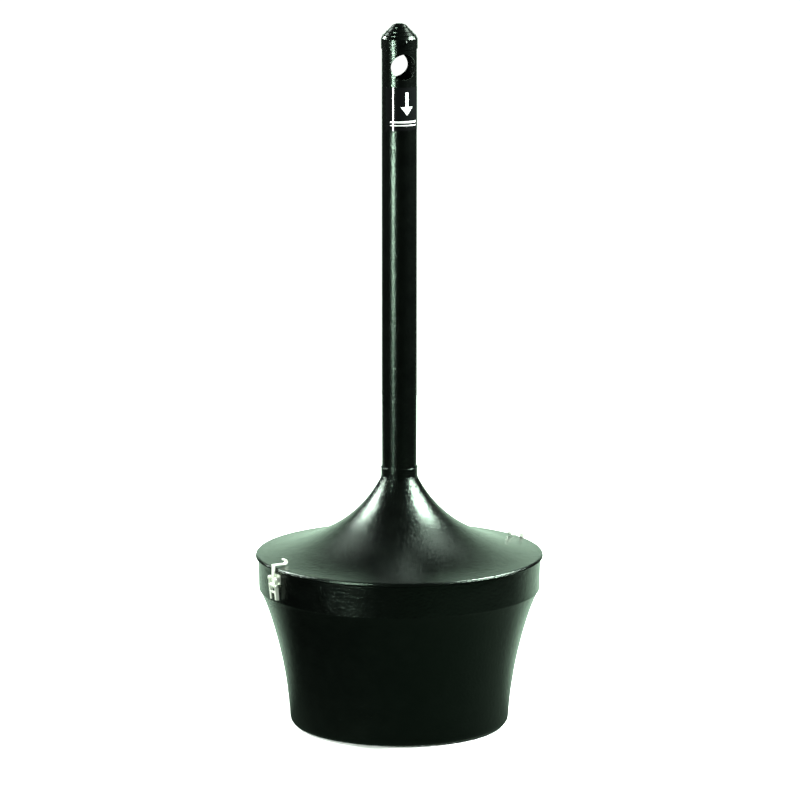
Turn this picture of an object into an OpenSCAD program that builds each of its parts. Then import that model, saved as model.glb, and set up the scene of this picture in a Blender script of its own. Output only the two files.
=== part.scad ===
// Free-standing smokers' receptacle: a flared floor bowl with a lift-off trumpet lid,
// a hollow drop tube with a cross hole, a stepped cap, two draw latches and an inner pail.
// Origin: centre of the underside. +Z is up. The cross hole runs along Y. Sizes in mm.

/* [Base bowl] */
// Outside radius of the centre of the bottom corner rounding
base_corner_c = 150.3; // [120:0.1:190]
// Bottom corner radius
base_corner_r = 10; // [6:0.5:16]
// Lean of the wall where it leaves the corner, degrees from upright
base_lean = 3.8; // [0:0.1:8]
// Radius of the long lower flare
flare_low_r = 650; // [350:5:900]
// Turn of the lower flare, degrees
flare_low_turn = 14.5; // [8:0.1:22]
// Radius of the tight upper flare
flare_up_r = 230; // [90:5:300]
// Turn of the upper flare, degrees
flare_up_turn = 8.2; // [5:0.1:16]
// Sheet thickness of the bowl
base_t = 2.5; // [1.5:0.1:4]
// Height of the bowl's top face
base_h = 247.5; // [225:0.5:275]
// Draft of the upright band over its height
band_draft = 1.2; // [0:0.1:3]
// Step out from the flare to the band
band_step = 1.2; // [0.6:0.1:3]
// Width of the flat rim the lid sits on
rim_w = 8; // [6:0.5:12]
// Radius of the ground bolt hole in the floor
anchor_r = 5.5; // [3:0.25:8]

/* [Lid] */
// Width of the trumpet's top edge outside the tube
neck_w = 1.6; // [1.2:0.1:6]
// Slope of the trumpet at its top, degrees below level
neck_slope = 63.3; // [50:0.1:75]
// Radius of the trumpet's upper curve
bell_r1 = 181.5; // [120:0.5:260]
// Turn of the upper curve, degrees
bell_turn1 = 32.7; // [20:0.1:45]
// Reach of the lid's edge beyond the band
overhang = 3.3; // [2:0.1:8]
// Height of the lid's outer corner above the bowl
lid_edge_h = 6.6; // [6.5:0.1:14]
// Turn of the lower curve, degrees
bell_turn2 = 23.7; // [15:0.1:30]
// Rounding of the lid's outer corner
lid_corner_r = 3.3; // [3:0.1:8]
// Sheet thickness of the lid
lid_t = 2.5; // [1.5:0.1:3]
// Radius of the bead along the lid's lower edge
lid_bead_r = 1.7; // [1:0.1:3]
// Depth of the locating ring below the gasket
locate_d = 6; // [3:0.5:12]
// Lid gasket thickness
gasket_t = 1.5; // [1:0.1:4]

/* [Drop tube] */
// Outside radius of the tube
tube_r = 25.4; // [19:0.1:26]
// Tube wall
tube_wall = 1.65; // [1:0.05:3]
// Length of the tube above the lid's neck
tube_up = 640.5; // [300:0.1:800]
// Length of the tube inside the lid
tube_inside = 22.5; // [14:0.5:60]
// Distance from the tube's top down to the cross hole's centre
drop_down = 38.2; // [32:0.1:120]
// Radius of the cross hole
drop_r = 18.4; // [12:0.1:20]
// Height of the collar above the lid's neck
collar_h = 15.8; // [8:0.1:30]
// Wall of the collar
collar_w = 1.25; // [0.8:0.05:3]

/* [Cap] */
// Depth of the cap's skirt below the tube's top
skirt_d = 13; // [8:0.5:20]
// Wall of the cap's skirt
skirt_w = 1; // [0.8:0.05:2]
// Height of the cap above the tube's top
cap_h = 22.8; // [20:0.1:40]
// Height of each step of the cap
cap_step_h = 5.2; // [3:0.1:5.6]
// Width of each step of the cap
cap_step_w = 5.1; // [3:0.1:6]
// Radius of the cap screws' heads
screw_head_r = 4; // [2.5:0.1:5]
// Turn of the first cap screw about Z, degrees
screw_deg = 270; // [0:1:359]

/* [Label] */
// Distance from the cross hole's centre down to the label
label_down = 29; // [20:0.5:200]
// Height of the label
label_h = 62; // [20:0.5:90]
// Middle of the label about Z, degrees
label_deg = 276.6; // [0:0.1:359]
// Width of the label about Z, degrees
label_span = 150; // [60:1:200]
// Label thickness
label_t = 0.25; // [0.15:0.05:0.5]

/* [Latches] */
// Turn of the first latch about Z, degrees; the second is opposite
latch_deg = 192.6; // [180:0.1:230]
// Distance from the bowl's top face down to the lever's pivot
pivot_down = 9.1; // [10:0.1:24]
// Distance from the band to the pivots
pivot_u = 5.4; // [4.5:0.1:9]
// Distance from the lever's pivot down to the link pin
link_d = 9.4; // [8:0.1:14]
// Length of the lever below its pivot
lever_len = 30.7; // [26:0.5:45]
// Half the width between the lever's rails
lever_w = 7.4; // [6:0.1:9]
// Lean of the lever towards the bowl at its lower end
lever_lean = 2.6; // [0:0.1:3]
// Half the width of the claw strap
claw_w = 3.9; // [3.5:0.1:6]
// Thickness of the claw strap
claw_t = 1.5; // [1:0.1:2.5]
// Reach of the claw over the lid, from the strap's centre
claw_reach = 18.1; // [12:0.1:26]
// Gap from the claw's underside to the lid at its inner end
claw_gap = 1.6; // [0.3:0.1:2]
// Outer radius of the claw's finger curl
curl_r = 4; // [3:0.1:7]
// Radius of the latch pins
pin_r = 1.5; // [1:0.1:2]

/* [Pail] */
// Gap between the pail's foot and the start of the bowl's corner
pail_gap = 19.8; // [10:0.1:40]
// Widening of the pail from foot to rim
pail_flare = 16.5; // [6:0.5:20]
// Height of the pail's rim above the floor
pail_top = 146; // [110:1:150]
// Sheet thickness of the pail
pail_t = 1.2; // [0.8:0.1:2]
// Radius of the wired rim bead
pail_bead_r = 2.8; // [2:0.1:4]
// Distance from the pail's rim down to the bail's pivots
bail_down = 18; // [14:0.5:40]
// Distance from the pail's rim to the bail wire's centre
bail_gap = 8; // [6.5:0.1:12]
// Radius of the bail wire
wire_r = 2.5; // [1.5:0.1:3.5]
// Angle of the hanging bail below level
bail_rest = 24; // [15:0.5:26]

/* [Hidden] */
$fn = 96;
pin_gap = 0.05;
pale = [0.78, 0.80, 0.76];
coat = [0.06, 0.065, 0.06];
// a path starts at p with heading h, in degrees, and turns left or right round a centre
function dir(a) = [cos(a), sin(a)];
function ctr_l(p, h, r) = p + r * dir(h + 90);
function ctr_r(p, h, r) = p + r * dir(h - 90);
function end_l(p, h, r, s) = ctr_l(p, h, r) + r * dir(h + s - 90);
function end_r(p, h, r, s) = ctr_r(p, h, r) + r * dir(h - s + 90);

// bowl wall
b_p0 = [base_corner_c, base_corner_r] + base_corner_r * dir(-base_lean);
b_h0 = 90 - base_lean;
b_p1 = end_r(b_p0, b_h0, flare_low_r, flare_low_turn);
b_h1 = b_h0 - flare_low_turn;
b_p2 = end_r(b_p1, b_h1, flare_up_r, flare_up_turn);
b_h2 = b_h1 - flare_up_turn;
b_in = b_p2 + base_t * dir(b_h2 + 90);
band_r0 = b_p2[0] + band_step;
band_z0 = b_p2[1] + band_step * 0.85;
band_r1 = band_r0 + band_draft;
rim_in = band_r1 - rim_w;

// lid wall: the trumpet is laid out from the neck, then set on the bowl
neck_r = tube_r + neck_w;
l_h0 = -neck_slope;
l_h1 = l_h0 + bell_turn1;
l_h2 = l_h1 + bell_turn2;
flat_p1 = end_l([neck_r, 0], l_h0, bell_r1, bell_turn1);
edge_r = band_r1 + overhang;
corner_out = lid_corner_r * (1 + sin(l_h2));
bell_r2 = (edge_r - corner_out - flat_p1[0]) / (sin(l_h2) - sin(l_h1));
flat_p2 = end_l(flat_p1, l_h1, bell_r2, bell_turn2);
neck_z = base_h + lid_edge_h - flat_p2[1];
l_p0 = [neck_r, neck_z];
l_p1 = flat_p1 + [0, neck_z];
l_p2 = flat_p2 + [0, neck_z];
l_p3 = end_r(l_p2, l_h2, lid_corner_r, 90 + l_h2);
hem_z = base_h + 0.3 + gasket_t;
lip_r = l_p3[0] - 0.5;
hem_in = rim_in - 1.9;
hem_t = 1.4;
tube_top = neck_z + tube_up;
drop_z = tube_top - drop_down;
label_z = drop_z - label_down - label_h;
cap_r = tube_r + 2 * pin_gap + skirt_w;
tube_in = tube_r - tube_wall;
tube_low = neck_z - tube_inside;
bore_r = tube_r + pin_gap;

// latch, in its own frame: u outward from the band, v up from the lever's pivot
pivot_z = base_h - pivot_down;
band_mid = band_r0 + band_draft * (pivot_z - band_z0) / (base_h - band_z0);
tip_r = band_mid + pivot_u - claw_reach + curl_r * 0.3;
tip_sin = sin(-l_h1) - (tip_r - l_p1[0]) / bell_r2;
tip_z = l_p1[1] - bell_r2 * (sqrt(1 - tip_sin * tip_sin) - cos(l_h1));
arm_v = tip_z + claw_gap - pivot_z;
rail_in = lever_w;
rail_out = rail_in + 1.6;
ear_in = rail_out + 0.3;
ear_out = ear_in + 1.5;
rail_r = pin_r + 1.4;
eye_r = pin_r + 1.5;
web_t = 1.3;
web_top = -link_d - 7.9;
web_low = web_top - 3.5;
function rail_u(v) = pivot_u + rail_r - lever_lean * (-v - link_d) / (lever_len - link_d);

// pail
pail_z = base_t + 0.3;
pail_r1 = base_corner_c - pail_gap;
pail_r2 = pail_r1 + pail_flare;
bail_z = pail_top - bail_down;
bail_r = pail_r2 + bail_gap;
function pail_r(z) = pail_r1 + (pail_r2 - pail_r1) * (z - pail_z) / (pail_top - pail_z);
ear_x = pail_r(bail_z);

// a piece of a flat ring between two angles less than a half turn apart
module sector(c, r1, r2, a1, a2) {
  far = 2.2 * r2;
  intersection() {
    difference() {
      translate(c) circle(r2);
      translate(c) circle(r1);
    }
    polygon([c, c + far * dir(a1), c + far * dir((a1 + a2) / 2), c + far * dir(a2)]);
  }
}

// points along a turn, off to the right of the path, from step i1 to step i2 of n
function turn_l(p, h, r, s, off, n, i1, i2) =
  [for (i = [i1 : sign(i2 - i1) : i2]) ctr_l(p, h, r) + (r + off) * dir(h + s * i / n - 90)];
function turn_r(p, h, r, s, off, n, i1, i2) =
  [for (i = [i1 : sign(i2 - i1) : i2]) ctr_r(p, h, r) + (r - off) * dir(h - s * i / n + 90)];

module box2(x1, y1, x2, y2) {
  translate([x1, y1]) square([x2 - x1, y2 - y1]);
}

module base_bowl() color(coat) difference() {
  rotate_extrude() polygon(concat(
    [[0, 0]],
    [for (i = [0 : 8]) [base_corner_c, base_corner_r]
      + base_corner_r * dir(-90 + (90 - base_lean) * i / 8)],
    turn_r(b_p0, b_h0, flare_low_r, flare_low_turn, 0, 24, 1, 24),
    turn_r(b_p1, b_h1, flare_up_r, flare_up_turn, 0, 12, 1, 12),
    [[band_r0, band_z0], [band_r1, base_h], [rim_in, base_h], [rim_in, base_h - base_t],
     [band_r1 - base_t, base_h - base_t], [band_r0 - base_t, band_z0 + 3]],
    turn_r(b_p1, b_h1, flare_up_r, flare_up_turn, -base_t, 12, 12, 0),
    turn_r(b_p0, b_h0, flare_low_r, flare_low_turn, -base_t, 24, 23, 0),
    [for (i = [7 : -1 : 0]) [base_corner_c, base_corner_r]
      + (base_corner_r - base_t) * dir(-90 + (90 - base_lean) * i / 8)],
    [[0, base_t]]));
  translate([0, 0, -1]) cylinder(r = anchor_r, h = base_t + 2);
  for (s = [0, 180]) rotate([0, 0, latch_deg + s])
    for (v = [3.2, -2.8]) translate([band_mid - 8, 0, pivot_z + v])
      rotate([0, 90, 0]) cylinder(r = pin_r + 0.01, h = 16);
}

module lid_bell() color(coat) difference() {
  union() {
    rotate_extrude() polygon(concat(
      turn_l(l_p0, l_h0, bell_r1, bell_turn1, 0, 28, 0, 28),
      turn_l(l_p1, l_h1, bell_r2, bell_turn2, 0, 24, 1, 24),
      turn_r(l_p2, l_h2, lid_corner_r, 90 + l_h2, 0, 8, 1, 8),
      [[lip_r, l_p3[1]], [lip_r, hem_z], [hem_in, hem_z], [hem_in, hem_z + hem_t],
       [l_p3[0] - lid_t, hem_z + hem_t]],
      turn_r(l_p2, l_h2, lid_corner_r, 90 + l_h2, lid_t, 8, 8, 0),
      turn_l(l_p1, l_h1, bell_r2, bell_turn2, lid_t, 24, 23, 0),
      turn_l(l_p0, l_h0, bell_r1, bell_turn1, lid_t, 28, 27, 0)));
    rotate_extrude() translate([lip_r - lid_bead_r + 0.9, hem_z + 0.9]) circle(lid_bead_r);
    rotate_extrude() box2(tube_r - 0.6, tube_low, neck_r + 1, neck_z - 5.5);
  }
  translate([0, 0, tube_low - 30]) cylinder(r = bore_r, h = 90);
}

module lid_gasket() color([0.09, 0.09, 0.09]) rotate_extrude()
  box2(rim_in + 0.4, base_h + 0.3, band_r1 - 1.2, hem_z);

module lid_locating_ring() color(coat) rotate_extrude()
  box2(hem_in - 2, base_h - locate_d, hem_in, hem_z + hem_t);

module neck_collar() color(coat) rotate_extrude() {
  box2(bore_r, neck_z + 0.3, tube_r + collar_w, neck_z + 0.3 + collar_h);
  for (z = [neck_z + 1.3, neck_z + collar_h - 0.7])
    translate([tube_r + collar_w, z]) circle(0.6);
}

module drop_tube() color(coat) difference() {
  rotate_extrude() box2(tube_in, tube_low, tube_r, tube_top);
  translate([0, 0, drop_z]) rotate([90, 0, 0]) cylinder(r = drop_r, h = 80, center = true);
  for (a = [0, 180]) rotate([0, 0, screw_deg + a])
    translate([10, 0, tube_top - skirt_d * 0.3]) rotate([0, 90, 0])
      cylinder(r = 2.0, h = 25);
}

module top_cap() color(coat) difference() {
  rotate_extrude() {
    polygon([[cap_r - skirt_w, tube_top - skirt_d], [cap_r, tube_top - skirt_d],
             [cap_r, tube_top + 1.4], [cap_r - 2.3, tube_top + 5.4],
             [cap_r - 2.3, tube_top + 6.6], [cap_r - 3.5, tube_top + 6.6],
             [cap_r - 2.2 - cap_step_w, tube_top + 5.4 + cap_step_h],
             [cap_r - 2.2 - cap_step_w, tube_top + 6.6 + cap_step_h],
             [cap_r - 3.4 - cap_step_w, tube_top + 6.6 + cap_step_h],
             [cap_r - 2.9 - 2 * cap_step_w, tube_top + 6.2 + 2 * cap_step_h],
             [cap_r - 4.1 - 2 * cap_step_w, tube_top + 6.2 + 2 * cap_step_h],
             [cap_r - 4.1 - 2 * cap_step_w, tube_top + cap_h - 4.6],
             [cap_r - 6.7 - 2 * cap_step_w, tube_top + cap_h - 2],
             [4, tube_top + cap_h], [0, tube_top + cap_h], [0, tube_top + 0.2],
             [cap_r - skirt_w, tube_top + 0.2]]);
  }
  for (a = [0, 180]) rotate([0, 0, screw_deg + a])
    translate([15, 0, tube_top - skirt_d * 0.3]) rotate([0, 90, 0])
      cylinder(r = 2.0, h = 25);
}

module cap_screws() color(pale) for (a = [0, 180]) rotate([0, 0, screw_deg + a])
  translate([0, 0, tube_top - skirt_d * 0.3]) rotate([0, 90, 0]) difference() {
    union() {
      translate([0, 0, tube_in - 4]) cylinder(r = 1.97, h = skirt_w + tube_wall + 4.3);
      translate([0, 0, bore_r + skirt_w + 0.08]) cylinder(r1 = screw_head_r,
                                                        r2 = screw_head_r - 1.2, h = 2.2);
    }
    translate([-0.55, -2.4, bore_r + skirt_w + 1.3]) cube([1.1, 4.8, 2]);
    translate([-2.4, -0.55, bore_r + skirt_w + 1.3]) cube([4.8, 1.1, 2]);
  }

module label() color([0.02, 0.02, 0.02]) rotate([0, 0, label_deg - label_span / 2])
  rotate_extrude(angle = label_span) box2(tube_r, label_z, tube_r + label_t, label_z + label_h);

// places a latch piece: its children are drawn with x = u, y = sideways, z = v
module at_latch(turn) rotate([0, 0, latch_deg + turn]) translate([band_mid, 0, pivot_z])
  children();

// raises a flat (u, v) outline into a slab from y1 to y2
module slab(y1, y2) translate([0, y2, 0]) rotate([90, 0, 0]) linear_extrude(y2 - y1) children();

module both_sides() {
  children();
  mirror([0, 1, 0]) children();
}

module bracket(turn) color(pale) difference() {
  at_latch(turn) {
    difference() {
      translate([-3, -ear_out, -8]) cube([4.5, 2 * ear_out, 14.5]);
      for (v = [3.2, -2.8]) translate([-6, 0, v]) rotate([0, 90, 0])
        cylinder(r = pin_r + 0.01, h = 12);
    }
    both_sides() slab(ear_in, ear_out) difference() {
      union() {
        translate([pivot_u, 0]) circle(pin_r + 2);
        box2(0.5, -pin_r - 2, pivot_u, pin_r + 2);
      }
      translate([pivot_u, 0]) circle(pin_r + 0.01);
    }
  }
  translate([0, 0, band_z0])
    cylinder(r1 = band_r0, r2 = band_r1, h = base_h - band_z0, $fn = 1440);
}

module rivets(turn) color(pale) at_latch(turn) for (v = [3.2, -2.8]) translate([0, 0, v]) {
  translate([-base_t - 1.4, 0, 0]) rotate([0, 90, 0]) cylinder(r = pin_r, h = base_t + 3);
  translate([1.55, 0, 0]) rotate([0, 90, 0]) cylinder(r1 = pin_r + 0.8, r2 = pin_r, h = 1.1);
  translate([-base_t - 1.6, 0, 0]) rotate([0, 90, 0]) cylinder(r1 = pin_r + 0.1, r2 = pin_r + 1.1, h = 1.3);
}

module pivots(turn) color(pale) at_latch(turn) both_sides()
  translate([pivot_u, 0, 0]) rotate([-90, 0, 0]) {
    translate([0, 0, rail_in - 0.4]) cylinder(r = pin_r, h = ear_out - rail_in + 0.7);
    translate([0, 0, ear_out + 0.02]) cylinder(r1 = pin_r + 1, r2 = pin_r + 0.4, h = 1);
  }

module lever(turn) color(pale) at_latch(turn) {
  both_sides() slab(rail_in, rail_out) difference() {
    union() {
      translate([pivot_u, 0]) circle(rail_r);
      polygon([[pivot_u - rail_r, 0], [pivot_u + rail_r, 0], [pivot_u + rail_r, -link_d],
               [rail_u(-lever_len), -lever_len],
               [rail_u(-lever_len) - 2 * rail_r + 1.2, -lever_len],
               [pivot_u - rail_r, -link_d]]);
    }
    translate([pivot_u, 0]) circle(pin_r + pin_gap);
    translate([pivot_u, -link_d]) circle(pin_r + 0.01);
  }
  slab(-rail_in, rail_in) polygon([[rail_u(web_top) - web_t, web_top], [rail_u(web_top), web_top],
                                   [rail_u(web_low), web_low], [rail_u(web_low) - web_t, web_low]]);
  both_sides() slab(rail_in - 2.4, rail_in)
    polygon([[rail_u(web_low) - web_t, web_low], [rail_u(web_low), web_low],
             [rail_u(-lever_len), -lever_len], [rail_u(-lever_len) - web_t, -lever_len]]);
}

module link_pin(turn) color(pale) at_latch(turn)
  translate([pivot_u, 0, -link_d]) rotate([90, 0, 0]) {
    cylinder(r = pin_r, h = 2 * rail_out + 0.3, center = true);
    for (s = [0, 1]) mirror([0, 0, s]) translate([0, 0, rail_out + 0.02])
      cylinder(r1 = pin_r + 0.7, r2 = pin_r + 0.2, h = 0.8);
  }

module claw(turn) color(pale) at_latch(turn) slab(-claw_w, claw_w) difference() {
  union() {
    translate([pivot_u, -link_d]) circle(eye_r);
    box2(pivot_u - claw_t / 2, -link_d, pivot_u + claw_t / 2, arm_v);
    box2(pivot_u - claw_reach, arm_v, pivot_u - claw_t / 2, arm_v + claw_t);
    sector([pivot_u - claw_t / 2, arm_v], 0, claw_t, 0, 90);
    sector([pivot_u - claw_reach, arm_v + curl_r], curl_r - claw_t, curl_r, 180, 270);
    sector([pivot_u - claw_reach, arm_v + curl_r], curl_r - claw_t, curl_r, 55, 180);
  }
  translate([pivot_u, -link_d]) circle(pin_r + pin_gap);
}

module latch_left_bracket() bracket(0);
module latch_left_rivets() rivets(0);
module latch_left_pivots() pivots(0);
module latch_left_lever() lever(0);
module latch_left_link_pin() link_pin(0);
module latch_left_claw() claw(0);
module latch_right_bracket() bracket(180);
module latch_right_rivets() rivets(180);
module latch_right_pivots() pivots(180);
module latch_right_lever() lever(180);
module latch_right_link_pin() link_pin(180);
module latch_right_claw() claw(180);

module pail() color([0.7, 0.72, 0.72]) difference() {
  rotate_extrude() {
    polygon([[pail_r1, pail_z], [pail_r2, pail_top], [pail_r2 - pail_t, pail_top],
             [pail_r1 - pail_t, pail_z]]);
    box2(0, pail_z + 8, pail_r(pail_z + 8) - 0.4, pail_z + 8 + pail_t);
    translate([pail_r2 - 0.4, pail_top]) circle(pail_bead_r);
    for (z = [100, 107]) translate([pail_r(z) - pail_t / 2, z]) circle(1.7);
  }
  for (s = [0, 180]) rotate([0, 0, s]) for (y = [-12, 12])
    translate([ear_x - 12, y, bail_z]) rotate([0, 90, 0]) cylinder(r = 1.81, h = 24);
}

module pail_ears() color([0.66, 0.68, 0.68]) for (s = [0, 180]) rotate([0, 0, s]) difference() {
  translate([ear_x - 4, -16.5, bail_z - 10]) cube([10, 33, 20]);
  translate([ear_x - 6, -6.5, bail_z - 12]) cube([10.5, 13, 24]);
  for (y = [-20, 8]) translate([ear_x + 1.6, y, bail_z - 12]) cube([12, 12, 24]);
  translate([ear_x - 10, 0, bail_z]) rotate([0, 90, 0]) cylinder(r = wire_r + pin_gap, h = 24);
  for (y = [-12, 12]) translate([ear_x - 12, y, bail_z]) rotate([0, 90, 0])
    cylinder(r = 1.81, h = 24);
  translate([0, 0, pail_z])
    cylinder(r1 = pail_r1, r2 = pail_r2, h = pail_top - pail_z, $fn = 1440);
}

module pail_ear_rivets() color(pale) for (s = [0, 180]) rotate([0, 0, s])
  for (y = [-12, 12]) translate([ear_x, y, bail_z]) rotate([0, 90, 0]) {
    translate([0, 0, -3.4]) cylinder(r = 1.8, h = 5.4);
    translate([0, 0, 1.65]) cylinder(r1 = 3.2, r2 = 2, h = 1.4);
    translate([0, 0, -4.2]) cylinder(r1 = 2, r2 = 3.2, h = 1.4);
  }

module pail_bail() color([0.66, 0.68, 0.68]) translate([0, 0, bail_z]) rotate([-bail_rest, 0, 0]) {
  rotate_extrude(angle = 180) translate([bail_r, 0]) circle(wire_r);
  for (s = [-1, 1]) {
    translate([s * bail_r, 0, 0]) sphere(wire_r + 0.6);
    translate([s * (ear_x + 2.6), 0, 0]) rotate([0, s * 90, 0])
      cylinder(r = wire_r, h = bail_r - ear_x - 2.6);
  }
}

base_bowl();
latch_left_bracket();
latch_left_rivets();
latch_left_pivots();
latch_left_lever();
latch_left_link_pin();
latch_left_claw();
latch_right_bracket();
latch_right_rivets();
latch_right_pivots();
latch_right_lever();
latch_right_link_pin();
latch_right_claw();
lid_bell();
lid_gasket();
lid_locating_ring();
neck_collar();
drop_tube();
top_cap();
cap_screws();
label();
pail();
pail_ears();
pail_ear_rivets();
pail_bail();
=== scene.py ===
"""Looks of the smokers' receptacle: finishes, label marks, floor, lights and camera.

Metres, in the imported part's own frame: +Z up, origin under the middle of the bowl.
"""

import math

import bmesh
import bpy
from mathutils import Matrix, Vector


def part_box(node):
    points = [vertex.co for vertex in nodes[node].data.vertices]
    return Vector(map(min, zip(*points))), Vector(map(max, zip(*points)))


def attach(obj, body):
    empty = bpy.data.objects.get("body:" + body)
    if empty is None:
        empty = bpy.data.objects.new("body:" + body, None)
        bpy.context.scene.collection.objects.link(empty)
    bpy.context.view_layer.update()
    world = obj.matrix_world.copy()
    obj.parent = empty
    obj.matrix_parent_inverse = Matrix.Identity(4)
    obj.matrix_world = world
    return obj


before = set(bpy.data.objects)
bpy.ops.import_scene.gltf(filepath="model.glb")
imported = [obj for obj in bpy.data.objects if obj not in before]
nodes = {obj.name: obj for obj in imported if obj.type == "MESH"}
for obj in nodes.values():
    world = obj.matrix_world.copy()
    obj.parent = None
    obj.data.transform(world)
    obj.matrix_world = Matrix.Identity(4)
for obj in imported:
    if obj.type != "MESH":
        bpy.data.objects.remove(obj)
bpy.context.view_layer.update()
scene = bpy.context.scene

# ---------------------------------------------------------------- camera
CAM_DISTANCE = 7.0
CAM_HEIGHT = 1.80
CAM_SIDE = 0.001
CAM_TURN = math.radians(-18.4)
CAM_DOWN = math.radians(10.68)
LENS_MM, SENSOR_MM = 220.392, 36.0


def around(x, y, z=0.0):
    """A point given as the camera sees the axis (x right, y away), in the row frame."""
    c, s = math.cos(CAM_TURN), math.sin(CAM_TURN)
    return Vector((x * c - y * s, x * s + y * c, z))


cam_data = bpy.data.cameras.new("view")
cam_data.lens = LENS_MM
cam_data.sensor_width = SENSOR_MM
cam_data.clip_end = 60
cam = bpy.data.objects.new("view", cam_data)
cam.location = around(CAM_SIDE, -CAM_DISTANCE, CAM_HEIGHT)
cam.rotation_euler = (math.pi / 2 - CAM_DOWN, 0, CAM_TURN)
scene.collection.objects.link(cam)
scene.camera = cam
scene.view_settings.view_transform = "Standard"
scene.view_settings.look = "None"

# ---------------------------------------------------------------- light
world = bpy.data.worlds.new("studio")
world.use_nodes = True
dim = world.node_tree.nodes["Background"].inputs
dim["Color"].default_value = (0.86, 0.93, 0.88, 1)
dim["Strength"].default_value = 0.012
scene.world = world


def softbox(name, azimuth, elevation, distance, size, watts, target, colour):
    """An area light; azimuth as seen from the target height (0 at the camera, + to its right)."""
    a, e = math.radians(azimuth), math.radians(elevation)
    data = bpy.data.lights.new(name, "AREA")
    data.shape = "RECTANGLE"
    data.size, data.size_y = size
    data.energy = watts
    data.color = colour
    light = bpy.data.objects.new(name, data)
    light.location = around(
        distance * math.cos(e) * math.sin(a),
        -distance * math.cos(e) * math.cos(a),
        target + distance * math.sin(e),
    )
    aim = Vector((0, 0, target)) - light.location
    light.rotation_euler = aim.to_track_quat("-Z", "Y").to_euler()
    scene.collection.objects.link(light)


MIST, HAZE = (0.92, 1.0, 0.95), (0.90, 1.0, 0.93)
softbox("right_near", 95, 42, 2.4, (0.95, 0.7), 430, 0.33, MIST)
softbox("right_far", 132, 58, 2.4, (0.8, 0.5), 14, 0.28, HAZE)
softbox("left_near", -118, 33, 2.4, (0.65, 0.6), 150, 0.32, MIST)
softbox("left_far", -140, 48, 2.4, (0.5, 0.4), 6, 0.28, HAZE)
softbox("front_strip", -40, 0, 2.6, (0.16, 1.2), 150, 1.0, (0.92, 1.0, 0.94))


def emitter(name, strength, colour):
    """A material that only gives light."""
    mat = bpy.data.materials.new(name)
    mat.use_nodes = True
    tree = mat.node_tree
    tree.nodes.clear()
    out = tree.nodes.new("ShaderNodeOutputMaterial")
    glow = tree.nodes.new("ShaderNodeEmission")
    glow.inputs["Color"].default_value = (*colour, 1)
    glow.inputs["Strength"].default_value = strength
    tree.links.new(glow.outputs[0], out.inputs[0])
    return mat


def sheet_object(name, corners, mat):
    """A flat stage piece, which is no part of the object."""
    mesh = bpy.data.meshes.new(name)
    mesh.from_pydata([tuple(c) for c in corners], [], [tuple(range(len(corners)))])
    mesh.materials.append(mat)
    obj = bpy.data.objects.new(name, mesh)
    scene.collection.objects.link(obj)
    return obj


BACK_Y, PAPER_LOW, PAPER_TOP = 2.6, -0.2, 1.65
PAPER_HALF, PAPER_GLOW_HALF = 1.3, 1.0
GREEN = (0.70, 1.0, 0.76)


def backdrop(name, y, half, strength, colour):
    """An upright glowing sheet behind the object, facing the camera."""
    corners = [around(-half, y, PAPER_LOW), around(half, y, PAPER_LOW),
               around(half, y, PAPER_TOP), around(-half, y, PAPER_TOP)]
    return sheet_object(name, corners, emitter(name, strength, colour))


paper = backdrop("backdrop", BACK_Y, PAPER_HALF, 1.1, (0.985, 1.0, 0.985))
paper.visible_glossy = False
paper_glow = backdrop("backdrop_glow", BACK_Y - 0.02, PAPER_GLOW_HALF, 1.45, GREEN)
paper_glow.visible_camera = False
paper_glow.visible_diffuse = False
paper_glow.visible_shadow = False


# ---------------------------------------------------------------- node helpers
class Nodes:
    """Short calls for the nodes that the finishes and the floor's glow share."""

    def __init__(self, mat):
        self.mat = mat
        self.tree = mat.node_tree
        self.coord = self.tree.nodes.new("ShaderNodeTexCoord").outputs["Object"]

    def link(self, a, b):
        self.tree.links.new(a, b)

    def span(self, value, lo, hi, out_lo, out_hi):
        node = self.tree.nodes.new("ShaderNodeMapRange")
        for key, number in (("From Min", lo), ("From Max", hi),
                            ("To Min", out_lo), ("To Max", out_hi)):
            node.inputs[key].default_value = number
        self.link(value, node.inputs["Value"])
        return node.outputs["Result"]

    def math(self, kind, a, b):
        node = self.tree.nodes.new("ShaderNodeMath")
        node.operation = kind
        for socket, value in zip(node.inputs, (a, b)):
            if isinstance(value, (int, float)):
                socket.default_value = value
            else:
                self.link(value, socket)
        return node.outputs[0]


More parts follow.
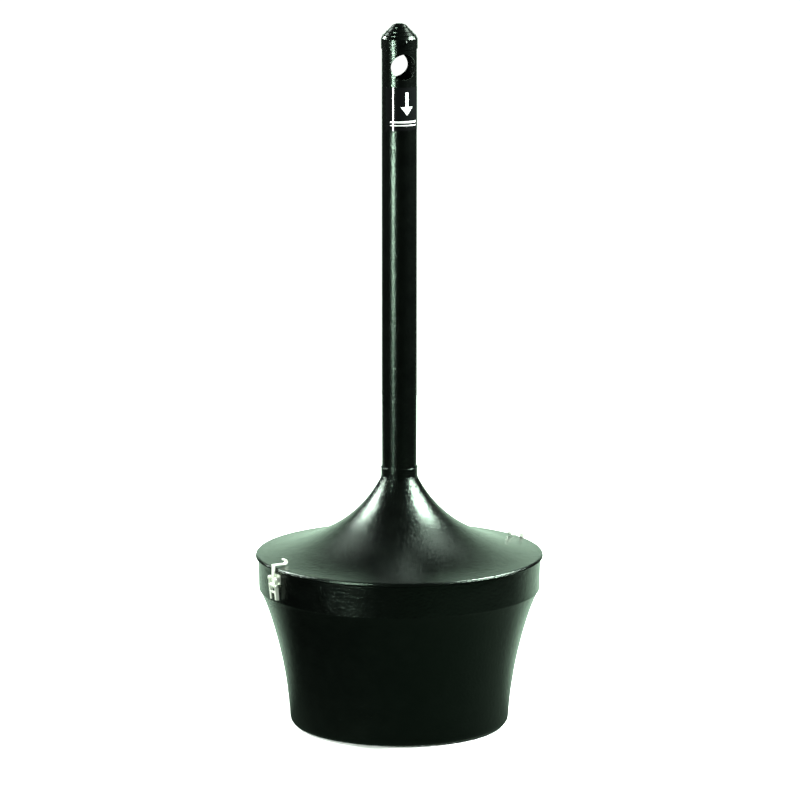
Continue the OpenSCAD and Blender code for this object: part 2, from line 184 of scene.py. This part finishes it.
class Shader(Nodes):
    """A finish: a Principled material and the textures that drive it."""

    def __init__(self, name):
        mat = bpy.data.materials.new(name)
        mat.use_nodes = True
        super().__init__(mat)
        self.bsdf = self.tree.nodes["Principled BSDF"]

    def stretch(self, scale):
        node = self.tree.nodes.new("ShaderNodeMapping")
        node.inputs["Scale"].default_value = scale
        self.link(self.coord, node.inputs["Vector"])
        return node.outputs["Vector"]

    def noise(self, scale, detail=2.0, rough=0.5, vector=None):
        node = self.tree.nodes.new("ShaderNodeTexNoise")
        node.inputs["Scale"].default_value = scale
        node.inputs["Detail"].default_value = detail
        node.inputs["Roughness"].default_value = rough
        self.link(vector or self.coord, node.inputs["Vector"])
        return node.outputs["Fac"]

    def cells(self, scale, feature="F1"):
        node = self.tree.nodes.new("ShaderNodeTexVoronoi")
        node.feature = feature
        node.inputs["Scale"].default_value = scale
        self.link(self.coord, node.inputs["Vector"])
        return node

    def mix(self, fac, a, b):
        node = self.tree.nodes.new("ShaderNodeMix")
        node.data_type = "RGBA"
        self.link(fac, node.inputs["Factor"])
        for key, value in (("A", a), ("B", b)):
            socket = [s for s in node.inputs if s.name == key and s.type == "RGBA"][0]
            if isinstance(value, tuple):
                socket.default_value = (*value, 1)
            else:
                self.link(value, socket)
        return [s for s in node.outputs if s.type == "RGBA"][0]

    def bump(self, height, strength, distance, under=None):
        node = self.tree.nodes.new("ShaderNodeBump")
        node.inputs["Strength"].default_value = strength
        node.inputs["Distance"].default_value = distance
        self.link(height, node.inputs["Height"])
        if under is not None:
            self.link(under, node.inputs["Normal"])
        return node.outputs["Normal"]

    def set(self, **values):
        for key, value in values.items():
            socket = self.bsdf.inputs[key.replace("_", " ")]
            if isinstance(value, (int, float)):
                socket.default_value = value
            elif isinstance(value, tuple):
                socket.default_value = (*value, 1)
            else:
                self.link(value, socket)
        return self.mat


def black_coat(name="black_coat", grain=1.0, specular=0.30, grain_depth=0.90):
    """Satin black powder coat with a fine pebbled skin and a little settled dust."""
    s = Shader(name)
    pebble = s.noise(360 / grain, 3.0, 0.62)
    blobs = s.cells(270 / grain, "SMOOTH_F1").outputs["Distance"]
    skin = s.math("ADD", pebble, s.math("MULTIPLY", blobs, 0.55))
    waves = s.noise(14, 2.0, 0.5)
    normal = s.bump(waves, 0.05, 0.004)
    normal = s.bump(skin, grain_depth, 0.0006, normal)
    tone = s.span(s.noise(46, 3.0, 0.6), 0.35, 0.7, 0.0, 1.0)
    colour = s.mix(tone, (0.0006, 0.0008, 0.0007), (0.0012, 0.0016, 0.0013))
    specks = s.span(s.noise(900, 2.0, 0.7), 0.66, 0.78, 0.0, 0.12)
    colour = s.mix(specks, colour, (0.014, 0.017, 0.014))
    rough = s.span(s.noise(700, 3.0, 0.65), 0.35, 0.65, 0.12, 0.24)
    s.set(Base_Color=colour, Roughness=rough, Normal=normal)
    s.bsdf.inputs["Specular IOR Level"].default_value = specular
    s.bsdf.inputs["Specular Tint"].default_value = (0.74, 1.0, 0.81, 1)
    return s.mat


def zinc():
    """Bright zinc plate: fine brushed grain and a few dull patches."""
    s = Shader("zinc_plate")
    grain = s.noise(260, 3.0, 0.6, s.stretch((1.0, 1.0, 9.0)))
    patch = s.span(s.noise(95, 3.0, 0.6), 0.42, 0.66, 0.0, 1.0)
    colour = s.mix(patch, (0.88, 0.94, 0.82), (0.62, 0.67, 0.57))
    rough = s.span(grain, 0.3, 0.7, 0.26, 0.46)
    return s.set(Base_Color=colour, Metallic=0.55, Roughness=rough,
                 Normal=s.bump(grain, 0.22, 0.0002))


def galvanised():
    """Hot-dipped zinc: crystal spangle that changes tone and gloss from cell to cell."""
    s = Shader("galvanised")
    tone = s.tree.nodes.new("ShaderNodeSeparateColor")
    s.link(s.cells(70).outputs["Color"], tone.inputs[0])
    feather = s.noise(420, 4.0, 0.7)
    colour = s.mix(tone.outputs[0], (0.36, 0.38, 0.38), (0.62, 0.64, 0.63))
    stain = s.span(s.noise(16, 5.0, 0.65), 0.55, 0.72, 0.0, 0.7)
    colour = s.mix(stain, colour, (0.30, 0.27, 0.22))
    rough = s.span(tone.outputs[1], 0.0, 1.0, 0.30, 0.52)
    return s.set(Base_Color=colour, Metallic=0.92, Roughness=rough,
                 Normal=s.bump(feather, 0.18, 0.0002))


def rubber():
    """Matt extruded rubber with a faint bloom."""
    s = Shader("gasket_rubber")
    bloom = s.span(s.noise(210, 4.0, 0.7), 0.45, 0.75, 0.0, 1.0)
    colour = s.mix(bloom, (0.010, 0.010, 0.010), (0.035, 0.035, 0.034))
    return s.set(Base_Color=colour, Roughness=s.span(bloom, 0, 1, 0.62, 0.82),
                 Normal=s.bump(s.noise(900, 2.0, 0.5), 0.2, 0.0002))


def film():
    """Gloss black vinyl, slightly rippled where it is wrapped."""
    s = Shader("label_film")
    ripple = s.noise(95, 2.0, 0.5)
    scuff = s.span(s.noise(300, 5.0, 0.7), 0.62, 0.75, 0.0, 1.0)
    colour = s.mix(scuff, (0.003, 0.0035, 0.0035), (0.009, 0.010, 0.010))
    return s.set(Base_Color=colour, Roughness=s.span(scuff, 0, 1, 0.10, 0.30),
                 Normal=s.bump(ripple, 0.10, 0.0006))


def print_ink():
    """White screen print, a little worn."""
    s = Shader("label_ink")
    wear = s.span(s.noise(520, 4.0, 0.7), 0.60, 0.76, 0.0, 1.0)
    colour = s.mix(wear, (0.74, 0.78, 0.75), (0.25, 0.27, 0.26))
    return s.set(Base_Color=colour, Roughness=s.span(wear, 0, 1, 0.35, 0.6),
                 Normal=s.bump(s.noise(800, 2.0, 0.5), 0.1, 0.0001))


def paving():
    """The pale floor of the studio."""
    s = Shader("floor_pale")
    tone = s.noise(1.7, 3.0, 0.5)
    return s.set(Base_Color=s.mix(tone, (0.86, 0.88, 0.86), (0.92, 0.93, 0.92)), Roughness=0.9,
                 Normal=s.bump(s.noise(300, 2.0, 0.5), 0.05, 0.0005))


coat = black_coat()
tube_coat = black_coat("black_coat_tube", 1.0, 0.36, 0.60)
steel, pail_zinc, seal, vinyl, ink = zinc(), galvanised(), rubber(), film(), print_ink()
screw_black = black_coat("black_screw", 0.8, 0.5)

FINISH = {
    "base_bowl": coat, "lid_bell": coat, "lid_locating_ring": coat, "neck_collar": tube_coat,
    "drop_tube": tube_coat, "top_cap": tube_coat, "cap_screws": screw_black,
    "lid_gasket": seal, "label": vinyl, "pail": pail_zinc, "pail_ears": pail_zinc,
    "pail_ear_rivets": pail_zinc, "pail_bail": pail_zinc,
}
for name, obj in nodes.items():
    finish = FINISH.get(name, steel)
    if not obj.material_slots:
        obj.data.materials.append(finish)
    for slot in obj.material_slots:
        slot.material = finish

# ---------------------------------------------------------------- label marks
low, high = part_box("label")
LABEL_LOW = low[2]
POST_R, LABEL_T = 0.0254, 0.0002
LABEL_R = POST_R + LABEL_T
INK, SUNK = 0.0002, 0.0001
LABEL_MID = math.radians(268)
STEP = 0.0007
ROW = 0.0015


def wrap(rows, name):
    """Print laid round the label: each row is (left, right, height), in metres."""
    bm = bmesh.new()
    last = None
    n = max(2, round(max(right - left for left, right, _ in rows) / STEP))
    for k, (left, right, v) in enumerate(rows):
        ring = []
        for i in range(n + 1):
            a = LABEL_MID + (left + (right - left) * i / n) / LABEL_R
            ring.append([bm.verts.new((r * math.cos(a), r * math.sin(a), v))
                         for r in (LABEL_R + INK, LABEL_R - SUNK)])
        if last:
            for i in range(n):
                bm.faces.new((last[i][0], last[i + 1][0], ring[i + 1][0], ring[i][0]))
                bm.faces.new((last[i + 1][1], last[i][1], ring[i][1], ring[i + 1][1]))
            for i in (0, n):
                bm.faces.new((last[i][0], ring[i][0], ring[i][1], last[i][1]))
        if k in (0, len(rows) - 1):
            for i in range(n):
                bm.faces.new((ring[i][0], ring[i][1], ring[i + 1][1], ring[i + 1][0]))
        last = ring
    bmesh.ops.recalc_face_normals(bm, faces=bm.faces)
    mesh = bpy.data.meshes.new(name)
    bm.to_mesh(mesh)
    bm.free()
    mesh.materials.append(ink)
    obj = bpy.data.objects.new(name, mesh)
    scene.collection.objects.link(obj)
    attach(obj, "lid")
    return obj


mid = (low[2] + high[2]) / 2
SHIFT = 0.004
STEM_HALF, STEM_TOP, STEM_ROWS = 0.0022, 0.024, 15
HEAD_HALF, HEAD_TAPER, HEAD_TOP, HEAD_ROWS = 0.0095, 0.00117, 0.003, 9
BAR_HALF, BAR_TOP, BAR_PITCH = 0.021, 0.0135, 0.0055
wrap([(SHIFT - STEM_HALF, SHIFT + STEM_HALF, mid + STEM_TOP - ROW * k)
      for k in range(STEM_ROWS)], "label_print_stem")
wrap([(SHIFT - HEAD_HALF + HEAD_TAPER * k, SHIFT + HEAD_HALF - HEAD_TAPER * k,
       mid + HEAD_TOP - ROW * k) for k in range(HEAD_ROWS)], "label_print_head")
for k, tall in enumerate((0.0026, 0.0014)):
    v = LABEL_LOW + BAR_TOP - k * BAR_PITCH
    wrap([(-BAR_HALF, BAR_HALF, v), (-BAR_HALF, BAR_HALF, v - tall)],
         "label_print_bar_%d" % k)

# ---------------------------------------------------------------- floor
FLOOR, FLOOR_Z = 7.0, -0.0008
floor = sheet_object("floor", [around(-FLOOR, -FLOOR, FLOOR_Z), around(FLOOR, -FLOOR, FLOOR_Z),
                               around(FLOOR, FLOOR, FLOOR_Z), around(-FLOOR, FLOOR, FLOOR_Z)],
                     paving())
floor.visible_glossy = False
floor.visible_diffuse = False


def floor_shine():
    """Light from the floor, stronger to the right and in a wedge behind the object."""
    g = Nodes(emitter("floor_glow", 1.0, GREEN))
    parts = g.tree.nodes.new("ShaderNodeSeparateXYZ")
    g.link(g.coord, parts.inputs[0])
    x, y = parts.outputs["X"], parts.outputs["Y"]
    far = g.math("SUBTRACT", y, g.math("MULTIPLY", g.math("ABSOLUTE", x, 0), 0.45))
    back = g.span(far, -0.05, 0.18, 0.0, 1.0)
    base = g.span(x, -0.45, 0.45, 0.0, 0.34)
    lit = g.math("ADD", base, g.math("MULTIPLY", back, 1.2))
    glow = [n for n in g.tree.nodes if n.type == "EMISSION"][0]
    g.link(lit, glow.inputs["Strength"])
    return g.mat


GLOW_X, GLOW_FRONT, GLOW_Z = 1.1, -1.2, -0.0006
glow = sheet_object("floor_glow", [(-GLOW_X, GLOW_FRONT, 0), (GLOW_X, GLOW_FRONT, 0),
                                   (GLOW_X, BACK_Y, 0), (-GLOW_X, BACK_Y, 0)], floor_shine())
glow.location.z = GLOW_Z
glow.rotation_euler.z = CAM_TURN
glow.visible_camera = False
glow.visible_diffuse = False
glow.visible_shadow = False
